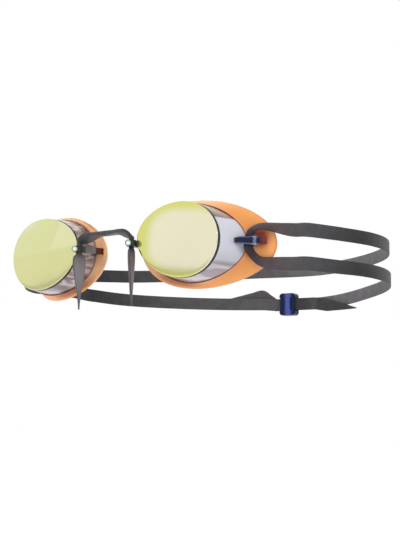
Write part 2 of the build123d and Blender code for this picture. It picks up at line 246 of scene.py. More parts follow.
# Every moulded part has the same kind of surface: faintly clouded, with a fine grain.
grain_group = bpy.data.node_groups.new("moulded surface", "ShaderNodeTree")
for label in ("Cloud Scale", "Darkest", "Grain Scale", "Grain Height"):
    grain_group.interface.new_socket(label, in_out="INPUT", socket_type="NodeSocketFloat")
grain_group.interface.new_socket("Shade", in_out="OUTPUT", socket_type="NodeSocketColor")
grain_group.interface.new_socket("Normal", in_out="OUTPUT", socket_type="NodeSocketVector")
grain_in = grain_group.nodes.new("NodeGroupInput").outputs
grain_out = grain_group.nodes.new("NodeGroupOutput").inputs
place = add_node(grain_group, "ShaderNodeTexCoord").outputs["Object"]
clouds, grains = (
    add_node(grain_group, "ShaderNodeTexNoise", {
        "Vector": place, "Scale": grain_in[scale], "Detail": detail,
    }).outputs["Fac"]
    for scale, detail in (("Cloud Scale", 3.0), ("Grain Scale", 4.0))
)
clouding = add_node(grain_group, "ShaderNodeMapRange", {
    "Value": clouds, "From Min": 0.3, "From Max": 0.72, "To Min": grain_in["Darkest"],
})
bump = add_node(grain_group, "ShaderNodeBump", {
    "Height": grains, "Strength": 0.5, "Distance": grain_in["Grain Height"],
})
grain_group.links.new(clouding.outputs["Result"], grain_out["Shade"])
grain_group.links.new(bump.outputs["Normal"], grain_out["Normal"])


def moulded(tree, shader, base, cloud_scale, darkest, grain_scale, grain_height=0.02):
    """Gives a shader its base colour, faintly clouded, and a fine grain."""
    node = add_node(tree, "ShaderNodeGroup", node_tree=grain_group)
    fill(node, {
        "Cloud Scale": cloud_scale, "Darkest": darkest,
        "Grain Scale": grain_scale, "Grain Height": grain_height * MM,
    })
    clouded = mix(tree, 1.0, base, node.outputs["Shade"], "MULTIPLY")
    fill(shader, {"Base Color": clouded, "Normal": node.outputs["Normal"]})


# Smoky silver under a hard gloss, in bands by height: pale lavender where the wall faces the
# temple, a dark red-brown line, then grey-brown along its top edge. Low down and beside the nose it
# carries painted reflections: mauve streaks and marbled patches with near-white glints.
tree, shader, wall_material = new_material("smoky silver polycarbonate")
streaks = ramp(tree, noise(tree, 60, 3, (0.5, 0.3, 4.0)), [
    (0.38, colour(142, 128, 136)),
    (0.47, colour(168, 157, 165)),
    (0.54, colour(204, 198, 204)),
    (0.60, colour(158, 144, 152)),
])
patches = ramp(tree, noise(tree, 130, 2, (1.0, 0.35, 1.6)), [
    (0.35, colour(94, 76, 78)),
    (0.45, colour(138, 118, 120)),
    (0.51, colour(174, 156, 160)),
    (0.55, colour(230, 224, 228)),
    (0.59, colour(216, 206, 210)),
    (0.66, colour(134, 112, 112)),
])
# Beside the nose the painted reflections are marbled patches with near-white glints.
streaks = mix(tree, attribute(tree, "nose_side"), streaks, patches)
body_tint = ramp(tree, attribute(tree, "height"), [
    (0.30, colour(196, 194, 205)),
    (0.45, colour(208, 209, 221)),
    (0.755, colour(208, 209, 221)),
    (0.775, colour(104, 60, 54)),
    (0.80, colour(128, 112, 98)),
    (0.88, colour(110, 98, 82)),
    (0.96, colour(138, 126, 108)),
])
low = ramp(tree, attribute(tree, "height"), [(0.25, grey(1)), (0.30, grey(0))])
beside_nose = mix(tree, attribute(tree, "nose_side"), grey(0), grey(0.95))
streaked = mix(tree, low, beside_nose, grey(1))
tinted = mix(tree, streaked, body_tint, streaks)
# The wall is darker all over beside the nose.
tinted = mix(tree, attribute(tree, "nose_side"), tinted, colour(226, 212, 210), "MULTIPLY")
fill(shader, {
    "Base Color": tinted, "Roughness": 0.12, "IOR": 1.58, "Transmission Weight": 0.15,
    "Coat Weight": 0.6, "Coat Roughness": 0.04,
})

# Dark cement in the groove, painted darker still to stand for the shade inside the groove.
tree, shader, cement_and_groove_shade_material = new_material("dark lens cement and groove shade")
cement_shade = ramp(tree, noise(tree, 900), [(0.3, colour(22, 26, 26)), (0.7, colour(46, 50, 50))])
fill(shader, {"Base Color": cement_shade, "Roughness": 0.35})

groove_front = 0.5
groove_back = 1.5
groove_sink = 0.3
groove_lip = 0.16
grip = 0.9
wall_steps = 8
tint_reach = 20.0


def wall_ring(inset, depth, share=0.0):
    """A ring of wall points, a share of the way from a depth to the gripped end of the wall."""
    return [
        wall_point(angle, depth + (seam_depth(angle) + grip - depth) * share, inset)
        for angle in around
    ]


def wall_rings():
    """Rings from the groove, back over the outside, round the hidden rim and up the inside."""
    rings = [
        wall_ring(groove_sink, groove_front),
        wall_ring(groove_sink, groove_back),
        wall_ring(groove_lip / 2, groove_back + groove_lip / 4),
    ]
    for step in range(wall_steps + 1):
        rings.append(wall_ring(0.0, groove_back + groove_lip, step / wall_steps))
    for step in range(wall_steps + 1):
        rings.append(wall_ring(wall_thickness, lens_thickness, 1 - step / wall_steps))
    rings.append(wall_ring(wall_thickness - 0.4, lens_thickness - 0.3))
    return rings


for side, word in ((1, "right"), (-1, "left")):
    rings = wall_rings()
    heights = [(point.z / tint_reach + 1) / 2 for ring in rings for point in ring]
    nose_side = [soft_step(-math.cos(angle), -0.2, 0.25) for ring in rings for angle in around]
    wall = ring_piece("cup_wall_" + word, rings, side, {"height": heights, "nose_side": nose_side})
    wall.data.materials.append(wall_material)
    wall.data.materials.append(cement_and_groove_shade_material)
    last_ring = len(rings) - 1
    # The groove faces take the cement, with its painted groove shade.
    for face in wall.data.polygons:
        rows = {index // cup_points for index in face.vertices}
        if rows in ({0, 1}, {1, 2}, {last_ring, 0}):
            face.material_index = 1
    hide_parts("cup_" + word)
    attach(wall, word + "_eye_cup")


# ---------------------------------------------------------------- mirrored lens
# The lens is a polycarbonate window, slightly crowned, with a gold mirror coating on its
# front face. Painted on it is a pale middle, the reflection of a soft box, and outside that
# the coating turns green-yellow towards the nose and along the top and bottom edges.
# Behind the coating it is a smoky amber, as the swimmer sees it.

lens_crown = 0.9
lens_steps = 14
edge_inset = 0.32
# The rounded edge and the rim of the back, as (depth, inset from the outline).
lens_edge = ((0.03, 0.18), (0.12, 0.06), (0.26, 0.0), (0.42, 0.05), (0.55, 0.3))
lens_back = ((lens_thickness - 0.4, 1.0), (lens_thickness, wall_thickness - 0.1))
# The pale middle of the coating, where the reflection of a soft box is painted.
box_reflection_centre = Vector((6.0, 0, -0.3))
box_reflection_half_width = 19.5
box_reflection_half_height = 12.4
# The left lens has two faint zones of painted reflection, below a line across it and above it
# beside the nose.
zone_line = 1.0
zone_rise = 0.06
zone_corner = -4.0
zone_slant = 0.75


def lens_rings():
    """Rings from the middle of the front face, over the rounded edge, to the back face."""
    rings = []
    rim = wall_ring(edge_inset, 0.0)
    for step in range(1, lens_steps + 1):
        share = step / lens_steps
        front = -lens_crown * (1 - share ** 2)
        rings.append([Vector((point.x * share, front, point.z * share)) for point in rim])
    for depth, inset in lens_edge + lens_back:
        rings.append(wall_ring(inset, depth))
    inner = wall_ring(wall_thickness, lens_thickness)
    for share in (0.7, 0.35, 0.08):
        rings.append([
            Vector((point.x * share, lens_thickness, point.z * share)) for point in inner
        ])
    return rings


def box_reflection_share(point):
    """0 in the middle, where the soft box's reflection is painted, growing to 1 and over at its
    coloured border.
    """
    wide = abs((point.x - box_reflection_centre.x) / box_reflection_half_width) ** 3
    high = abs((point.z - box_reflection_centre.z) / box_reflection_half_height) ** 3
    return (wide + high) ** (1 / 3)


def above_line(point):
    """How far a point of the lens lies above the line between the two zones."""
    return point.z - zone_line - zone_rise * point.x


def upper_reflection_zone(point):
    """1 in the zone above the line and on the nose's side of a slant, and 0 outside it."""
    beside = zone_corner - zone_slant * (point.z - zone_line) - point.x
    return soft_step(above_line(point), 0, 0.6) * soft_step(beside, 0, 1.0)


def lower_reflection_zone(point):
    """1 in the zone below the line, and 0 outside it."""
    return soft_step(-above_line(point), 0, 1.2)


def lens_material(name, middle, border, upper, lower):
    """Gold mirror coating: its middle colour, where the soft box's reflection is painted, its
    border colour, and two faint zones of painted reflection on it.
    """
    tree, shader, material = new_material(name)
    cloud = ramp(tree, noise(tree, 45, 2), [(0.3, grey(0.97)), (0.7, grey(1))])
    coat = mix(tree, attribute(tree, "border"), middle, border)
    coat = mix(tree, attribute(tree, "upper"), coat, upper)
    coat = mix(tree, attribute(tree, "lower"), coat, lower)
    coat = mix(tree, 1.0, coat, cloud, "MULTIPLY")
    shade = mix(tree, attribute(tree, "behind"), coat, colour(96, 84, 58))
    metal = ramp(tree, attribute(tree, "behind"), [(0.0, grey(0.92)), (1.0, grey(0))])
    rough = ramp(tree, noise(tree, 240, 4), [(0.3, grey(0.10)), (0.7, grey(0.15))])
    fill(shader, {
        "Base Color": shade, "Metallic": metal, "Roughness": rough,
        "Coat Weight": 0.35, "Coat Roughness": 0.05,
    })
    return material


# Each lens: its middle with the painted soft box reflection, its border, and its two zones of
# painted reflection.
lens_finish = {
    1: lens_material("gold mirror", colour(232, 226, 196), colour(214, 215, 122),
                     colour(232, 226, 196), colour(232, 226, 196)),
    -1: lens_material("green gold mirror", colour(216, 219, 160), colour(222, 227, 192),
                      colour(228, 228, 180), colour(214, 213, 150)),
}
for side, word in ((1, "right"), (-1, "left")):
    rings = lens_rings()
    points = [point for ring in rings for point in ring]
    front_count = (lens_steps + len(lens_edge)) * cup_points
    behind = [0.0] * front_count + [1.0] * (len(points) - front_count)
    border = [soft_step(box_reflection_share(point), 0.92, 1.28) for point in points]
    upper = lower = [0.0] * len(points)
    if side < 0:
        # The left lens shows its coloured border towards the temple only.
        border = [share * soft_step(point.x, -4, 16) for share, point in zip(border, points)]
        # The two zones of painted reflection on the left lens.
        upper = [0.55 * upper_reflection_zone(point) for point in points]
        lower = [0.7 * lower_reflection_zone(point) for point in points]
    lens = ring_piece("lens_window_" + word, rings, side, {
        "border": border, "behind": behind, "upper": upper, "lower": lower,
    }, closed=False)
    lens.data.materials.append(lens_finish[side])
    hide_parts("lens_" + word)
    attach(lens, word + "_eye_cup")


# ---------------------------------------------------------------- gasket
# Soft orange silicone, moulded over the rim of the wall. It grips the wall in a small bead,
# flares out to a thin feathered edge that follows the eye socket, and lets light through.

edge_half_width = 33.0
edge_half_height = 19.8
edge_shift = 3.4
edge_drop = 0.7
edge_lean = 1.3
edge_egg = 0.5
# Depth of the outer edge round the cup, given as the seam's is.
edge_wave = (16.8, 7.2, 0.0, 3.2, 0.7)
# The skirt is a little fuller where it rests on the cheek beside the nose.
cheek_angle = math.radians(-130)
cheek_fullness = 1.4
gasket_skin = 1.5
bead_height = 0.35
# How far the bead stands off the wall at the temple, and how much further beside the nose.
step_at_temple = 0.15
step_growth = 0.95
flare_steps = 14
# The feathered edge: its rounding as (back, in from the edge, place on the flare), its
# thickness, and how far in from it the inner face starts.
edge_round = ((0.0, 0.12, 0.97), (0.22, 0.0, 1.0), (0.5, 0.1, 1.0))
edge_thickness = 0.62
edge_lip = 0.5


def edge_point(angle):
    """A point on the outer edge of the gasket."""
    rise = edge_lean * math.cos(angle) - edge_drop
    full = cheek_fullness * max(0.0, math.cos(angle - cheek_angle)) ** 2
    return Vector((
        edge_shift + (edge_half_width + full) * math.cos(angle),
        wave(angle, *edge_wave),
        rise + math.sin(angle) * (edge_half_height + full + edge_egg * math.cos(angle)),
    ))


def gasket_section(angle):
    """Points of the gasket's section at an angle, with how far each lies out along the flare."""
    nose_share = (1 - math.cos(angle)) / 2
    step_out = step_at_temple + step_growth * nose_share
    seam = seam_depth(angle)
    foot = wall_point(angle, seam, -step_out)
    edge = edge_point(angle)
    run = edge - foot
    outward = run.normalized()
    radial = Vector((run.x, 0, run.z))
    back = Vector((0, radial.length, 0)) - radial.normalized() * run.y
    back.normalize()
    inner_seat = wall_point(angle, seam + grip + gasket_skin, wall_thickness + 1.0)
    inner_lip = wall_point(angle, seam + 0.2, wall_thickness + 0.9)
    section = [
        (wall_point(angle, seam + 0.15, 0.3), 0.0),
        (wall_point(angle, seam - bead_height * 0.3, 0.02), 0.0),
        (wall_point(angle, seam - bead_height, -step_out * 0.35 - 0.05), 0.0),
        (wall_point(angle, seam - bead_height * 0.75, -step_out * 0.8 - 0.1), 0.02),
        (foot - back * 0.12, 0.05),
    ]
    for index in range(1, flare_steps):
        share = index / flare_steps
        sag = back * (0.7 * math.sin(math.pi * share) * (1 - 0.4 * share))
        section.append((foot + run * share + sag * (0.4 + 0.6 * nose_share), 0.05 + 0.9 * share))
    for behind, short, share in edge_round:
        section.append((edge + back * behind - outward * short, share))
    start = edge + back * edge_thickness - outward * edge_lip
    for index in range(1, flare_steps):
        share = index / flare_steps
        thick = back * (gasket_skin - edge_thickness) * math.sin(math.pi * share / 2)
        section.append((start.lerp(inner_seat, share) + thick * (1 - share), 0.95 - 0.85 * share))
    section.append((inner_seat, 0.1))
    section.append((inner_lip, 0.1))
    return section


tree, shader, gasket_material = new_material("orange silicone")
flare = attribute(tree, "flare")
# Across the flare: a dark red-brown line at the seam, painted shadow of the lip; orange; a darker
# line near the edge, painted shade where it curls; a pale edge, painted highlight.
skin_tone = ramp(tree, flare, [
    (0.0, colour(120, 44, 26)),
    (0.025, colour(150, 66, 40)),
    (0.06, colour(226, 148, 78)),
    (0.55, colour(234, 156, 76)),
    (0.86, colour(236, 166, 94)),
    (0.93, colour(216, 140, 84)),
    (0.985, colour(242, 206, 170)),
])
# Painted shade: brown low on the nose side, near the seam.
tone = mix(tree, attribute(tree, "underside_shade"), skin_tone, colour(138, 76, 46))
# Painted light: paler along the top and on the nose side.
tone = mix(tree, attribute(tree, "top"), tone, colour(230, 208, 174))
# Red-brown round the clip's tail: the tail seen through the skirt, and painted shadow.
tone = mix(tree, attribute(tree, "beside_clip"), tone, colour(150, 40, 10))
moulded(tree, shader, tone, 70, 0.93, 1500)
fill(shader, {
    "Roughness": 0.38, "Coat Weight": 0.15, "Coat Roughness": 0.25,
    "Subsurface Weight": 0.35, "Subsurface Radius": (1.0, 0.45, 0.15), "Subsurface Scale": 2 * MM,
})

# Round this point the skirt is red-brown: the navy tail of the strap clip shows through it, and a
# painted shadow of the clip and strap loop lies on it.
tail_and_shadow_centre = Vector((32.5, 18.5, 4.6))
tail_and_shadow_radius = 7.5
for side, word in ((1, "right"), (-1, "left")):
    sections = [gasket_section(angle) for angle in around]
    rings = [[section[row][0] for section in sections] for row in range(len(sections[0]))]
    flares = [section[row][1] for row in range(len(sections[0])) for section in sections]
    underside_shade = []
    top = []
    beside_clip = []
    for row in range(len(rings)):
        for angle, section in zip(around, sections):
            place, out = section[row]
            # Masks for the painted shade underneath and the painted light on top and beside the
            # nose.
            low = soft_step(-math.sin(angle), 0.35, 0.85) * soft_step(-math.cos(angle), -0.35, 0.15)
            underside_shade.append(0.85 * low * (1 - soft_step(out, 0.3, 0.95)))
            high = soft_step(math.sin(angle), 0.3, 0.9) * soft_step(-math.cos(angle), -0.6, 0.1)
            nasal = 0.6 * soft_step(-math.cos(angle), 0.5, 0.9)
            top.append(max(0.8 * high, nasal) * (0.6 + 0.4 * out))
            within = tail_and_shadow_radius - (place - tail_and_shadow_centre).length
            beside_clip.append(0.95 * soft_step(within, 0, 4.5))
    gasket = ring_piece("gasket_skirt_" + word, rings, side, {
        "flare": flares, "underside_shade": underside_shade, "top": top, "beside_clip": beside_clip,
    })
    gasket.data.materials.append(gasket_material)
    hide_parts("gasket_" + word)
    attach(gasket, word + "_eye_cup")


# ---------------------------------------------------------------- nose posts
# Hard glossy plastic moulded in one with the cup: a grey bar with a dark green eye for the
# nose band and a bright glassy ball in front. Its foot shows brown where it meets the gasket.

edge_radius = 0.28


def rounded_copy(name, node, radius, levels=3):
    """A copy of a hard CAD part with its edges broken, as a moulded part's are."""
    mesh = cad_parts[node].data.copy()
    shell = bmesh.new()
    shell.from_mesh(mesh)
    bmesh.ops.remove_doubles(shell, verts=shell.verts, dist=0.002 * MM)
    bmesh.ops.dissolve_limit(
        shell, angle_limit=math.radians(1), verts=shell.verts, edges=shell.edges
    )
    shell.to_mesh(mesh)
    shell.free()
    mesh.materials.clear()
    mesh.polygons.foreach_set("use_smooth", [True] * len(mesh.polygons))
    piece = new_piece(name, mesh)
    bevel = piece.modifiers.new("broken edges", "BEVEL")
    bevel.width = radius * MM
    bevel.segments = levels
    bevel.limit_method = "ANGLE"
    bevel.angle_limit = math.radians(40)
    bevel.harden_normals = True
    weighted = piece.modifiers.new("even shading", "WEIGHTED_NORMAL")
    weighted.keep_sharp = True
    return piece


def depth_share(tree, start, end):
    """How far back a place on the piece is, from 0 at start to 1 at end, in millimetres."""
    place = add_node(tree, "ShaderNodeTexCoord").outputs["Object"]
    split = add_node(tree, "ShaderNodeSeparateXYZ", {"Vector": place})
    depth = add_node(tree, "ShaderNodeMapRange", {
        "Value": split.outputs["Y"], "From Min": start * MM, "From Max": end * MM,
    })
    return depth.outputs["Result"]


def by_depth(tree, stops):
    """Colours that change with depth; stops are (millimetres behind the lens faces, colour)."""
    span = plastic_back - plastic_front
    return ramp(tree, depth_share(tree, plastic_front, plastic_back),
                [((depth - plastic_front) / span, shade) for depth, shade in stops])


def hard_plastic(name, rough=0.16):
    """Glossy moulded plastic, still without its colour."""
    tree, shader, material = new_material(name)
    fill(shader, {
        "Roughness": rough, "Specular IOR Level": 0.22,
        "Coat Weight": 0.12, "Coat Roughness": 0.04,
    })
    return tree, shader, material


plastic_front = -5.0
plastic_back = 25.0
# The clouding and grain of the hard plastics, as moulded takes them.
plastic_grain = (400, 0.86, 900)
tree, shader, post_material = hard_plastic("dark green plastic")
post_shade = by_depth(tree, [
    (0.3, colour(36, 46, 42)),
    (1.5, colour(108, 104, 106)),
    (6.6, colour(124, 120, 120)),
    (7.4, colour(58, 30, 22)),
    (8.6, colour(84, 36, 6)),
])
moulded(tree, shader, post_shade, *plastic_grain)
for side, word in ((1, "right"), (-1, "left")):
    piece = rounded_copy("nose_post_moulded_" + word, "nose_post_" + word, edge_radius)
    piece.data.materials.append(post_material)
    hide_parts("nose_post_" + word)
    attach(piece, word + "_eye_cup")

# The ball is a clear bead, dark green at its rim, with a painted highlight in the middle where it
# faces the camera.
tree, shader, bead_material = new_material("clear green bead")
facing = add_node(tree, "ShaderNodeLayerWeight", {"Blend": 0.35})
bead_colour_and_highlight = ramp(tree, facing.outputs["Facing"], [
    (0.02, colour(228, 236, 232)),
    (0.20, colour(150, 166, 158)),
    (0.45, colour(40, 56, 50)),
])
fill(shader, {"Base Color": bead_colour_and_highlight, "Roughness": 0.08, "Coat Weight": 1.0})

bead_radius = 1.56
bead_back = 0.86
bead_across = 16.98
bead_behind_tip = 1.46
bead_drop = 0.15
for side, word in ((1, "right"), (-1, "left")):
    low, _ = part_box("nose_post_" + word)
    centre = Vector((side * bead_across, low[1] / MM + bead_behind_tip, -bead_drop)) * MM
    shell = bmesh.new()
    bmesh.ops.create_icosphere(shell, subdivisions=4, radius=bead_radius * MM)
    for vertex in shell.verts:
        vertex.co.y *= bead_back if vertex.co.y > 0 else 1.0
    bmesh.ops.translate(shell, vec=centre, verts=shell.verts)
    mesh = bpy.data.meshes.new("nose_bead_" + word)
    shell.to_mesh(mesh)
    shell.free()
    mesh.polygons.foreach_set("use_smooth", [True] * len(mesh.polygons))
    bead = new_piece("nose_bead_" + word, mesh)
    mesh.materials.append(bead_material)
    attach(bead, word + "_eye_cup")


# ---------------------------------------------------------------- nose band
# One soft grey silicone moulding. A leaf-shaped tail hangs below each post, a round neck
# runs up through the eye, and a flat arch joins the two over the nose.
# It is swept along its own path, as is the head strap further on.

sweep = bpy.data.node_groups.new("band swept along a path", "GeometryNodeTree")
for label, kind, start in (
    ("Path", "Geometry", None),
    ("Width", "Float", 6.5 * MM),
    ("Thickness", "Float", 1.2 * MM),
    ("Corner", "Float", 0.3 * MM),
    ("Sections", "Int", 200),
    ("Corner Points", "Int", 3),
    ("Finish", "Material", None),
):
    socket = sweep.interface.new_socket(label, in_out="INPUT", socket_type="NodeSocket" + kind)
    if start is not None:
        socket.default_value = start
sweep.interface.new_socket("Band", in_out="OUTPUT", socket_type="NodeSocketGeometry")


def add(kind, values=None, **settings):
    """Adds a node to the sweep."""
    return add_node(sweep, kind, values, **settings)


def maths(operation, first, second=0.0):
    """A sum on two numbers."""
    return add("ShaderNodeMath", {0: first, 1: second}, operation=operation).outputs[0]


def vectors(operation, first, second=(0, 0, 0)):
    """A sum on two vectors."""
    node = add("ShaderNodeVectorMath", {0: first, 1: second}, operation=operation)
    return node.outputs["Value" if operation == "DOT_PRODUCT" else "Vector"]


def scaled(vector, factor):
    """A vector times a number."""
    return add("ShaderNodeVectorMath", {0: vector, "Scale": factor}, operation="SCALE").outputs[0]


# The path is smoothed through its stations, and the section is a rounded rectangle.
given = sweep.nodes.new("NodeGroupInput").outputs
path = add("GeometryNodeMeshToCurve", {0: given["Path"]}).outputs[0]
path = add("GeometryNodeCurveSplineType", {0: path}, spline_type="CATMULL_ROM").outputs[0]
path = add("GeometryNodeSetSplineResolution", {0: path, 2: 12}).outputs[0]
outline = add("GeometryNodeCurvePrimitiveQuadrilateral", {
    "Width": given["Width"], "Height": given["Thickness"],
}).outputs[0]
filleted = add("GeometryNodeFilletCurve", {
    0: outline, "Radius": given["Corner"], "Count": given["Corner Points"],
}, mode="POLY").outputs[0]
profile = add("GeometryNodeCurveToPoints", {0: filleted}, mode="EVALUATED").outputs[0]
profile_size = add("GeometryNodeAttributeDomainSize", {0: profile}, component="POINTCLOUD")
profile_count = profile_size.outputs[0]

# A grid is wrapped round the path: a row for each section, and one more to close each end.
rows = maths("ADD", given["Sections"], 2)
columns = maths("ADD", profile_count, 1)
grid = add("GeometryNodeMeshGrid", {"Vertices X": rows, "Vertices Y": columns}).outputs[0]
index = add("GeometryNodeInputIndex").outputs[0]
row = maths("FLOOR", maths("DIVIDE", index, columns))
column = maths("MODULO", maths("MODULO", index, columns), profile_count)
last_section = maths("SUBTRACT", rows, 3)
inner_row = maths("MINIMUM", maths("MAXIMUM", maths("SUBTRACT", row, 1), 0), last_section)
factor = maths("DIVIDE", inner_row, last_section)
is_last = maths("GREATER_THAN", row, maths("SUBTRACT", rows, 1.5))
is_end = maths("ADD", maths("LESS_THAN", row, 0.5), is_last)
open_share = maths("SUBTRACT", 1.0, is_end)


def along_path(name, data_type):
    """A value kept on the path's points, with the path's place and direction, at each row."""
    value = add("GeometryNodeInputNamedAttribute", {"Name": name}, data_type=data_type)
    sample = add("GeometryNodeSampleCurve", mode="FACTOR", data_type=data_type, use_all_curves=True)
    fill(sample, {0: path, "Value": value.outputs["Attribute"], "Factor": factor})
    return sample.outputs["Value"], sample.outputs["Position"], sample.outputs["Tangent"]


across, position, tangent = along_path("across", "FLOAT_VECTOR")
wide_share, thick_share, tone = (
    along_path(name, "FLOAT")[0] for name in ("wide_share", "thick_share", "tone")
)
leaning = scaled(tangent, vectors("DOT_PRODUCT", across, tangent))
across = vectors("NORMALIZE", vectors("SUBTRACT", across, leaning))
through = vectors("CROSS_PRODUCT", tangent, across)
corner = add("GeometryNodeSampleIndex", data_type="FLOAT_VECTOR", domain="POINT")
fill(corner, {
    0: profile, "Value": add("GeometryNodeInputPosition").outputs[0], "Index": column,
})
corner = add("ShaderNodeSeparateXYZ", {0: corner.outputs["Value"]}).outputs
wide = maths("MULTIPLY", maths("MULTIPLY", corner["X"], wide_share), open_share)
thick = maths("MULTIPLY", maths("MULTIPLY", corner["Y"], thick_share), open_share)
offset = vectors("ADD", scaled(across, wide), scaled(through, thick))
band = add("GeometryNodeSetPosition", {
    0: grid, "Position": vectors("ADD", position, offset),
}).outputs[0]
cross_share = maths("ADD", maths("DIVIDE", corner["X"], given["Width"]), 0.5)
for label, value in (("tone", tone), ("cross_share", cross_share)):
    kept = add("GeometryNodeStoreNamedAttribute", data_type="FLOAT", domain="POINT")
    fill(kept, {0: band, "Name": label, "Value": value})
    band = kept.outputs[0]
band = add("GeometryNodeMergeByDistance", {0: band, "Distance": 0.002 * MM}).outputs[0]
band = add("GeometryNodeSetShadeSmooth", {0: band}).outputs[0]
band = add("GeometryNodeRealizeInstances", {0: band}).outputs[0]
band = add("GeometryNodeSetMaterial", {0: band, "Material": given["Finish"]}).outputs[0]
sweep.links.new(band, sweep.nodes.new("NodeGroupOutput").inputs[0])


def swept_band(name, stations, width, thickness, corner, sections, material):
    """A band through stations of (place, width direction, width, thickness, tone)."""
    places, directions, widths, thicknesses, tones = zip(*stations)
    mesh = bpy.data.meshes.new(name + "_path")
    mesh.from_pydata(
        [Vector(place) * MM for place in places],
        [(start, start + 1) for start in range(len(places) - 1)],
        [],
    )
    layer = mesh.attributes.new("across", "FLOAT_VECTOR", "POINT")
    layer.data.foreach_set(
        "vector", [part for direction in directions for part in Vector(direction).normalized()]
    )
    for label, numbers in (
        ("wide_share", [value / width for value in widths]),
        ("thick_share", [value / thickness for value in thicknesses]),
        ("tone", tones),
    ):
        mesh.attributes.new(label, "FLOAT", "POINT").data.foreach_set("value", numbers)
    guide = new_piece(name + "_path", mesh)
    modifier = guide.modifiers.new("sweep", "NODES")
    modifier.node_group = sweep
    values = {
        "Width": width * MM, "Thickness": thickness * MM, "Corner": corner * MM,
        "Sections": sections, "Corner Points": 3, "Finish": material,
    }
    for item in sweep.interface.items_tree:
        if item.item_type == "SOCKET" and item.in_out == "INPUT" and item.name in values:
            modifier[item.identifier] = values[item.name]
    evaluated = guide.evaluated_get(bpy.context.evaluated_depsgraph_get())
    result = bpy.data.meshes.new_from_object(evaluated)
    bpy.data.objects.remove(guide)
    result.name = name
    close_shell(result)
    return new_piece(name, result)


post_x = 16.6
post_y = -1.9
band_toe = math.radians(19)
band_width = 5.2
band_thickness = 1.2
leaf_across = (-math.sin(band_toe), math.cos(band_toe), 0)
# Stations: place, width direction, width, thickness and tone. The tone paints light and shade: the
# leaves lit, the neck and the arch's shoulders in shade.
half_band = [
    ((post_x, post_y, -28.6), leaf_across, 0.5, 0.7, 0.6),
    ((post_x, post_y, -25.6), leaf_across, 0.9, 0.9, 0.8),
    ((post_x, post_y, -22.0), leaf_across, 1.9, 1.0, 0.95),
    ((post_x, post_y, -18.3), leaf_across, 3.2, 1.1, 1.25),
    ((post_x, post_y, -14.2), leaf_across, 4.6, 1.2, 1.35),
    ((post_x, post_y, -10.6), leaf_across, 5.9, 1.2, 1.35),
    ((post_x, post_y, -7.4), leaf_across, 6.6, 1.25, 1.25),
    ((post_x, post_y, -4.9), leaf_across, 6.4, 1.35, 1.0),
    ((post_x, post_y, -3.4), leaf_across, 5.2, 1.5, 0.6),
    ((post_x, post_y, -2.5), leaf_across, 2.7, 1.7, 0.4),
    ((post_x, post_y, -1.9), leaf_across, 1.9, 1.9, 0.3),
    ((post_x, post_y, 0.0), leaf_across, 2.0, 2.0, 0.3),
    ((post_x, post_y, 1.6), leaf_across, 1.9, 1.8, 0.3),
    ((post_x - 0.3, post_y + 0.3, 2.8), leaf_across, 3.6, 1.6, 0.32),
    ((post_x - 1.4, post_y + 0.4, 3.9), (-0.4, 0.85, -0.3), 5.2, 1.5, 0.3),
    ((post_x - 3.8, post_y + 0.6, 4.7), (-0.4, 0.8, -0.42), 6.0, 1.7, 0.32),
    ((post_x - 7.0, post_y + 0.9, 5.4), (-0.28, 0.9, -0.25), 5.9, 1.9, 0.5),
    ((post_x - 10.4, post_y + 1.2, 6.0), (-0.15, 1, 0), 5.6, 2.0, 0.75),
]
middle = [((0, post_y + 1.3, 6.1), (0, 1, 0), 5.4, 2.0, 0.62)]
other_half = [
    ((-x, y, z), (-across_x, across_y, across_z), *rest)
    for (x, y, z), (across_x, across_y, across_z), *rest in reversed(half_band)
]

tree, shader, band_material = new_material("soft grey silicone")
# The tone on each station paints light and shade along the band.
toned = mix(tree, 1.0, colour(106, 100, 105), attribute(tree, "tone"), "MULTIPLY")
# Painted shade darkens the moulding along its two edges.
painted_edge_shade = ramp(tree, attribute(tree, "cross_share"), [
    (0.02, (0.35, 0.34, 0.35, 1)),
    (0.12, grey(1)),
    (0.88, grey(1)),
    (0.98, (0.35, 0.34, 0.35, 1)),
])
toned = mix(tree, 1.0, toned, painted_edge_shade, "MULTIPLY")
moulded(tree, shader, toned, 120, 0.88, 1800)
fill(shader, {
    "Roughness": 0.42, "Coat Weight": 0.1, "Coat Roughness": 0.2,
    "Subsurface Weight": 0.1, "Subsurface Scale": 1 * MM,
})

nose_band = swept_band("nose_band", half_band + middle + other_half,
                       band_width, band_thickness, 0.5, 320, band_material)
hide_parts("nose_bridge")
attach(nose_band, "bridge_and_strap")


# ---------------------------------------------------------------- strap clips
# A navy bar moulded in one with the cup, standing off the wall on a front foot. The strap
# passes behind it. Its long edges carry painted highlights and its tail runs down into the gasket.

clip_depth = 8.6
clip_tilt = math.radians(5.0)
clip_lift = 1.0
front = wall_point(0, clip_depth)
rim = wall_point(0, wall_depth)
along = Vector((rim.x - front.x, rim.y - front.y, 0)).normalized()
inward = Vector((-along.y, along.x, 0))
clip_axes = Matrix((
    (along.x, inward.x, 0, front.x),
    (along.y, inward.y, 0, front.y),
    (0, 0, 1, 0),
    (0, 0, 0, 1),
))
clip_place = (
    cup_place
    @ Matrix.Translation((0, 0, clip_lift))
    @ clip_axes
    @ Matrix.Rotation(-clip_tilt, 4, "Y")
)
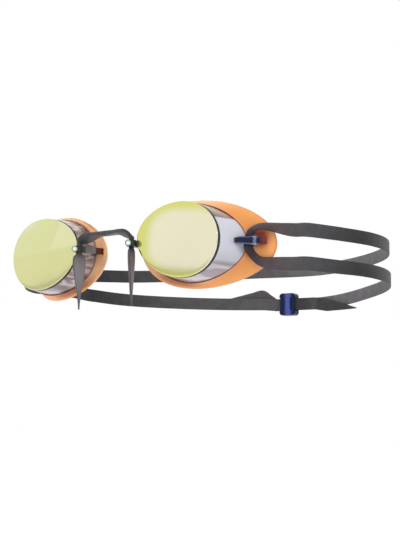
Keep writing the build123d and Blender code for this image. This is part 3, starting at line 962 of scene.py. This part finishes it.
# Steps along the bar: back, out from the wall, height and how strong the painted highlight is.
clip_run = [
    (0.0, -0.3, 2.4, 0.1),
    (0.0, 1.2, 2.7, 0.2),
    (0.1, 2.4, 3.0, 0.4),
    (0.6, 3.1, 3.3, 0.45),
    (1.8, 3.4, 3.4, 0.5),
    (4.2, 3.4, 3.6, 0.45),
    (5.6, 3.4, 3.8, 0.5),
    (6.6, 3.4, 4.0, 0.85),
    (7.6, 3.4, 4.1, 0.95),
    (8.6, 3.4, 4.0, 0.5),
    (10.2, 3.3, 3.7, 0.15),
    (12.2, 2.7, 3.3, 0.0),
    (14.2, 1.8, 3.0, 0.0),
    (16.0, -0.6, 2.8, 0.0),
]
clip_thickness = 1.6
clip_height = 3.4

tree, shader, clip_material = hard_plastic("navy plastic", 0.22)
clip_base = by_depth(tree, [
    (15.0, colour(14, 20, 52)),
    (17.6, colour(36, 20, 40)),
    (19.6, colour(116, 24, 8)),
])
# Painted highlights along the long edges, the lower one stronger.
edges = ramp(tree, attribute(tree, "cross_share"), [
    (0.02, grey(0.35)),
    (0.09, grey(1)),
    (0.20, grey(0)),
    (0.80, grey(0)),
    (0.92, grey(0.5)),
])
painted_highlight = mix(tree, 1.0, edges, attribute(tree, "tone"), "MULTIPLY")
# Where the painted highlight is strongest it runs right across the bar, unevenly.
painted_gleam = ramp(tree, attribute(tree, "tone"), [(0.6, grey(0)), (0.95, grey(0.7))])
mottled = ramp(tree, noise(tree, 1500, 2), [(0.42, grey(0.3)), (0.58, grey(1))])
painted_highlight = mix(tree, 1.0, painted_highlight, mix(tree, 1.0, painted_gleam, mottled, "MULTIPLY"), "ADD")
clip_shade = mix(tree, painted_highlight, clip_base, colour(150, 166, 208))
moulded(tree, shader, clip_shade, *plastic_grain)
for side, word in ((1, "right"), (-1, "left")):
    stations = []
    for back, out, height, tone in clip_run:
        place = clip_place @ Vector((back, -out, 0))
        across = clip_place.to_3x3() @ Vector((0, 0, 1))
        stations.append((
            (place.x * side, place.y, place.z), (across.x * side, across.y, across.z),
            height, clip_thickness, tone,
        ))
    clip = swept_band("strap_clip_moulded_" + word, stations, clip_height, clip_thickness,
                      0.5, 90, clip_material)
    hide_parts("strap_clip_" + word)
    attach(clip, word + "_eye_cup")


# ---------------------------------------------------------------- head strap
# One long band of matte dark grey silicone, cut with two slanted ends. It runs from its cut
# end through the buckle, round the clip on one side, over the back of the head, round the
# other clip and back to the buckle. It is drawn as two halves that meet behind the head.

strap_width = 6.5
strap_thickness = 1.2
loop_radius = 80.0
turn_start = 90.0
split_start = 60.0
layer_gap = 0.3
side_run = 20.0
buckle_angle = 102.0
straight_half = 12.0
upper_steps = 22
layer_run = 70.0
layer_step = 5.0
lift_steps = 3
cut_steps = 6
tip_width = 0.5
up = (0, 0, 1)
down = (0, 0, -1)
# The height of each strand, and the painted light and shade on the strap, at every 30 degrees round
# the head.
turn_between = 30.0
upper_heights = [6.3, 6.7, 6.7, 5.8, 4.1, 4.0, 1.9, -0.9, -2.5]
lower_heights = [-9.4, -8.8, -9.3, -10.9, -14.3, -13.7, -13.2, -13.0, -12.2]
back_light_and_shade = [0.7, 0.38, 1.0, 1.35, 1.4, 1.0, 0.9, 0.5, 0.35]
# The painted shade along the straight stretch inside the buckle, as (share of the stretch, tone).
buckle_stretch_shade = ((0, 0.9), (0.3, 0.45), (0.5, 0.45), (0.7, 0.45), (0.89, 0.6))
# The turn round the clip: steps from its middle, the band's width direction, width and tone, which
# paints the light and shade round the turn, darkest by the clip.
loop_middle = Vector((71.42, 15.14, -1.64))
loop_direction = Vector((0.44, 0.9, 0.05))
loop_set_back = 0.8
loop_width = 4.8
loop_shade_tone = 0.4
loop_upper = [
    ((0.6, -0.3, 2.5), (0.01, 0.96, -0.28), 4.6, 0.55),
    ((1.3, 0.4, 4.0), (-0.26, 0.93, -0.26), 4.7, 0.7),
    ((2.5, 1.9, 5.5), (-0.45, 0.86, -0.28), 4.9, 1.05),
    ((4.0, 4.8, 6.4), (-0.57, 0.77, -0.27), 5.4, 1.2),
    ((5.8, 9.7, 6.5), (-0.62, 0.7, -0.34), 6.0, 1.1),
    ((7.1, 15.2, 6.3), (-0.6, 0.6, -0.5), 6.4, 1.0),
    ((7.7, 23.6, 6.3), (-0.45, 0.47, -0.76), 6.5, 1.0),
    ((7.6, 34.1, 7.2), (-0.23, 0.28, -0.93), 6.5, 0.95),
]
loop_lower = [
    ((0.1, -0.9, -2.8), (0.11, 0.99, 0.08), 4.8, 0.4),
    ((0.4, 0.9, -5.2), (-0.08, 0.9, 0.42), 4.8, 0.4),
    ((0.9, 3.0, -7.2), (-0.14, 0.83, 0.53), 5.0, 0.6),
    ((2.2, 5.0, -8.9), (-0.2, 0.72, 0.66), 5.4, 0.75),
    ((3.7, 7.5, -9.6), (-0.26, 0.54, 0.8), 5.9, 0.85),
    ((5.3, 11.0, -9.7), (-0.27, 0.38, 0.88), 6.3, 0.9),
    ((6.7, 15.7, -9.6), (-0.2, 0.32, 0.92), 6.5, 0.9),
    ((7.5, 23.8, -9.0), (-0.12, 0.14, 0.98), 6.5, 0.9),
    ((7.6, 34.1, -8.0), (0.03, -0.03, 1.0), 6.5, 0.85),
]


def value_at(values, angle):
    """The value at an angle round the head, on a smooth curve through a list of values."""
    place = min(max(angle / turn_between + 1, 0), len(values) - 1)
    first = min(int(place), len(values) - 2)
    part = place - first
    padded = [values[0]] + values + [values[-1]]
    before, start, end, after = padded[first:first + 4]
    slope_in = (end - before) / 2
    slope_out = (after - start) / 2
    bend = 3 * (end - start) - 2 * slope_in - slope_out
    turn = slope_in + slope_out - 2 * (end - start)
    return start + slope_in * part + bend * part ** 2 + turn * part ** 3


def head_point(angle, offset, height):
    """A place on the strap, round the head from the right side: 90 is behind."""
    radius = loop_radius + offset
    if angle < 0:
        return (radius, turn_start + angle, height)
    if angle > 180:
        return (-radius, turn_start - (angle - 180), height)
    turn = math.radians(angle)
    return (radius * math.cos(turn), turn_start + radius * math.sin(turn), height)


def half_strap(side, end_upper, end_lower, tail_reach, tail_cut, tail_lift, tail_shade_tone):
    """Stations of one half: upper strand from behind, the loop, lower strand and its tail."""
    stations = []

    def add_station(place, direction, width, tone, thickness=strap_thickness):
        stations.append((place, direction, width, thickness, tone))

    def mirrored(vector):
        return Vector((vector[0] * side, vector[1], vector[2]))

    def turned(route, end_height):
        """A route round the clip, its end brought smoothly to its strand's height."""
        change = end_height - loop_middle.z - route[-1][0][2]
        run = split_start - loop_middle.y
        return [
            (loop_middle + Vector((out, back, rise + change * (back / run) ** 2)), *rest)
            for (out, back, rise), *rest in route
        ]

    # The upper strand comes forward from behind the head.
    behind = 90
    stop = -side_run if side > 0 else 180 + side_run
    for step in range(upper_steps + 1):
        angle = behind + (stop - behind) * step / upper_steps
        place = head_point(angle, 0, value_at(upper_heights, angle))
        add_station(place, down, strap_width, value_at(back_light_and_shade, angle))

    # It turns on edge round the clip.
    centre = loop_middle + loop_direction * loop_set_back
    for place, direction, width, tone in (
        *reversed(turned(loop_upper, end_upper)),
        (centre, loop_direction, loop_width, loop_shade_tone),
        *turned(loop_lower, end_lower),
    ):
        add_station(mirrored(place), mirrored(direction), width, tone)

    # The lower strand goes back to the buckle, on its own side of the doubled stretch.
    layer = side * (strap_thickness + layer_gap) / 2
    per_mm = math.degrees(1 / loop_radius)
    near = buckle_angle - side * straight_half * per_mm
    far = buckle_angle + side * straight_half * per_mm
    level = value_at(lower_heights, buckle_angle)
    angle = stop
    while side * (near - angle) > layer_step / 2:
        share = min(abs(angle - stop) / layer_run, 1)
        place = head_point(angle, layer * share, value_at(lower_heights, angle))
        add_station(place, up, strap_width, value_at(back_light_and_shade, angle))
        angle += side * layer_step

    # It lies straight through the buckle.
    start = Vector(head_point(near, layer, level))
    finish = Vector(head_point(far, layer, level))
    for share, tone in buckle_stretch_shade:
        add_station(start.lerp(finish, share), up, strap_width, tone)

    # The tail drifts off the strand below it and is cut to a point.
    tip = buckle_angle + side * per_mm * tail_reach
    blunt = tip - side * tail_cut * per_mm
    for step in range(lift_steps + 1):
        share = step / lift_steps
        place = head_point(far + (blunt - far) * share, layer, level + tail_lift * share)
        add_station(place, up, strap_width, tail_shade_tone if step else 0.8)
    for step in range(1, cut_steps + 1):
        share = step / cut_steps
        loss = (strap_width - tip_width) * share
        angle = blunt + (tip - blunt) * share
        place = head_point(angle, layer, level + tail_lift - loss / 2)
        add_station(place, up, strap_width - loss, tail_shade_tone, strap_thickness * (1 - 0.2 * share))
    return stations


tree, shader, strap_material = new_material("matte dark grey silicone")
# The tone kept on the strap's points paints its light and shade.
strap_shade = mix(tree, 1.0, colour(86, 84, 87), attribute(tree, "tone"), "MULTIPLY")
# Painted reflection of the orange gasket warms the strap near the cups.
orange_reflection_tint = ramp(tree, depth_share(tree, 10.0, 50.0), [(0.1, (1.18, 0.9, 0.92, 1)), (0.9, grey(1))])
strap_shade = mix(tree, 1.0, strap_shade, orange_reflection_tint, "MULTIPLY")
moulded(tree, shader, strap_shade, 260, 0.75, 2200)
fill(shader, {
    "Roughness": 0.55, "Specular IOR Level": 0.12, "Sheen Weight": 0.02, "Sheen Roughness": 0.5,
})

# Each half ends in a tail: how far it reaches past the middle of the buckle, how long its
# slanted cut is, how far it drifts up and its tone, painted shade. The right half's is on the
# buckle's left.
for side, word, end, *tail in ((1, "right", 0, 43.5, 24.0, 5.3, 0.95),
                               (-1, "left", -1, 43.0, 22.0, -1.5, 0.5)):
    stations = half_strap(side, upper_heights[end], lower_heights[end], *tail)
    strap = swept_band("head_strap_" + word, stations, strap_width, strap_thickness,
                       0.35, 520, strap_material)
    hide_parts("strap_side_" + word, "strap_back_lower_" + word,
                *(["strap_back_upper"] if side > 0 else []))
    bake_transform(strap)


# ---------------------------------------------------------------- slide buckle
# Royal blue moulded slide with a bar across the front and two behind, which hold the doubled
# strap by friction. Its edges are broken and polished, so its corners catch the light.

tree, shader, buckle_material = hard_plastic("royal blue plastic", 0.2)
low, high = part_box("buckle")
buckle_centre = (Vector(low) + Vector(high)) / 2
buckle_turn = math.radians(buckle_angle - 90)
# Painted light and shade: bright along the centre bar, falling to dark towards the sides.
ridge_shift = 0.5
ridge_reach = 5.0
place = add_node(tree, "ShaderNodeTexCoord").outputs["Object"]
centred = add_node(tree, "ShaderNodeMapping", {"Vector": place}, vector_type="TEXTURE")
fill(centred, {
    "Location": buckle_centre + Vector((ridge_shift, 0, 0)) * MM, "Rotation": (0, 0, buckle_turn),
})
split = add_node(tree, "ShaderNodeSeparateXYZ", {"Vector": centred.outputs["Vector"]})
off_centre = add_node(tree, "ShaderNodeMath", {0: split.outputs["X"]}, operation="ABSOLUTE")
outward = add_node(tree, "ShaderNodeMapRange", {
    "Value": off_centre.outputs[0], "From Max": ridge_reach * MM,
})
lit_bar_and_shade = ramp(tree, outward.outputs["Result"], [
    (0.20, colour(76, 84, 152)),
    (0.34, colour(54, 62, 124)),
    (0.50, colour(30, 40, 84)),
    (0.90, colour(16, 24, 50)),
])
moulded(tree, shader, lit_bar_and_shade, *plastic_grain)
fill(shader, {"Specular IOR Level": 0.1, "Coat Weight": 0.05})

buckle = rounded_copy("slide_buckle", "buckle", 0.35, 4)
buckle.data.materials.append(buckle_material)
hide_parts("buckle")
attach(buckle, "buckle")

# A thin dark web joins the rails behind the centre bar and covers the strap inside the slide,
# standing in for the shade there.
web_size = Vector((8.8, 0.5, 11.4))
web_corner = 1.5
web_front = -1.95
tree, shader, web_and_shade_material = hard_plastic("dark navy web and shade", 0.25)
moulded(tree, shader, colour(24, 32, 62), *plastic_grain)
shell = bmesh.new()
bmesh.ops.create_cube(shell, size=1.0)
bmesh.ops.scale(shell, vec=web_size * MM, verts=shell.verts)
upright = [edge for edge in shell.edges if abs(edge.verts[0].co.y - edge.verts[1].co.y) > 0.1 * MM]
bmesh.ops.bevel(
    shell, geom=upright, offset=web_corner * MM, segments=5, affect="EDGES", profile=0.5,
)
web_place = (
    Matrix.Translation(buckle_centre)
    @ Matrix.Rotation(buckle_turn, 4, "Z")
    @ Matrix.Translation((0, web_front * MM, 0))
)
bmesh.ops.transform(shell, matrix=web_place, verts=shell.verts)
mesh = bpy.data.meshes.new("slide_buckle_web")
shell.to_mesh(mesh)
shell.free()
web = new_piece("slide_buckle_web", mesh)
mesh.materials.append(web_and_shade_material)
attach(web, "buckle")


# ---------------------------------------------------------------- floor, light and camera
# A pale studio: a wide white floor below the goggles, a white surround and soft lamps.

tree, shader, floor_material = new_material("white studio floor")
rays = add_node(tree, "ShaderNodeLightPath").outputs
fill(shader, {
    "Base Color": grey(0.9), "Roughness": 0.8,
    "Emission Color": grey(1), "Emission Strength": rays["Is Camera Ray"],
})
floor_size = 12.0
floor_level = -0.16
bpy.ops.mesh.primitive_plane_add(size=floor_size, location=(0, 0, floor_level))
floor = bpy.context.active_object
floor.name = "studio_floor"
floor.data.materials.append(floor_material)

# The surround lights the goggles less than it shows to the camera and in glossy parts.
dim_surround = 0.62
world = bpy.data.worlds.new("white surround")
bpy.context.scene.world = world
world.use_nodes = True
tree = world.node_tree
rays = add_node(tree, "ShaderNodeLightPath").outputs
seen = rays["Is Camera Ray"]
for kind in ("Is Glossy Ray", "Is Transmission Ray"):
    either = add_node(tree, "ShaderNodeMath", {0: seen, 1: rays[kind]}, operation="MAXIMUM")
    seen = either.outputs[0]
level = add_node(tree, "ShaderNodeMapRange", {"Value": seen, "To Min": dim_surround, "To Max": 1.0})
fill(tree.nodes["Background"], {"Color": grey(1), "Strength": level.outputs["Result"]})


def soft_lamp(name, place, aim, size, power, mirrored):
    """A square soft box at a place, aimed at a point; mirrored ones show in glossy parts."""
    lamp = bpy.data.lights.new(name, "AREA")
    lamp.size = size
    lamp.energy = power
    holder = bpy.data.objects.new(name, lamp)
    holder.visible_glossy = mirrored
    holder.location = place
    holder.rotation_euler = (Vector(aim) - Vector(place)).to_track_quat("-Z", "Y").to_euler()
    bpy.context.collection.objects.link(holder)


soft_lamp("key box", (0.5, -0.9, 0.9), (0, 0.06, 0), 0.5, 9.0, False)
soft_lamp("fill box", (-0.9, -0.6, 0.4), (0, 0.06, 0), 0.6, 5.0, False)
soft_lamp("rear box", (0.3, 1.1, 0.7), (0, 0.08, 0), 0.6, 5.0, False)
soft_lamp("glint box", (1.0, -0.45, 0.35), (0.05, 0.05, 0), 0.12, 0.5, True)

camera_data = bpy.data.cameras.new("product camera")
camera_data.sensor_width = 36
camera_data.lens = 103.55
camera = bpy.data.objects.new("product camera", camera_data)
camera.location = (0.5008, -0.5303, -0.09291)
aim = Vector((0.12222, -0.0791, -0.02851)) - camera.location
camera.rotation_euler = aim.to_track_quat("-Z", "Y").to_euler()
bpy.context.collection.objects.link(camera)
bpy.context.scene.camera = camera
bpy.context.scene.view_settings.view_transform = "Standard"
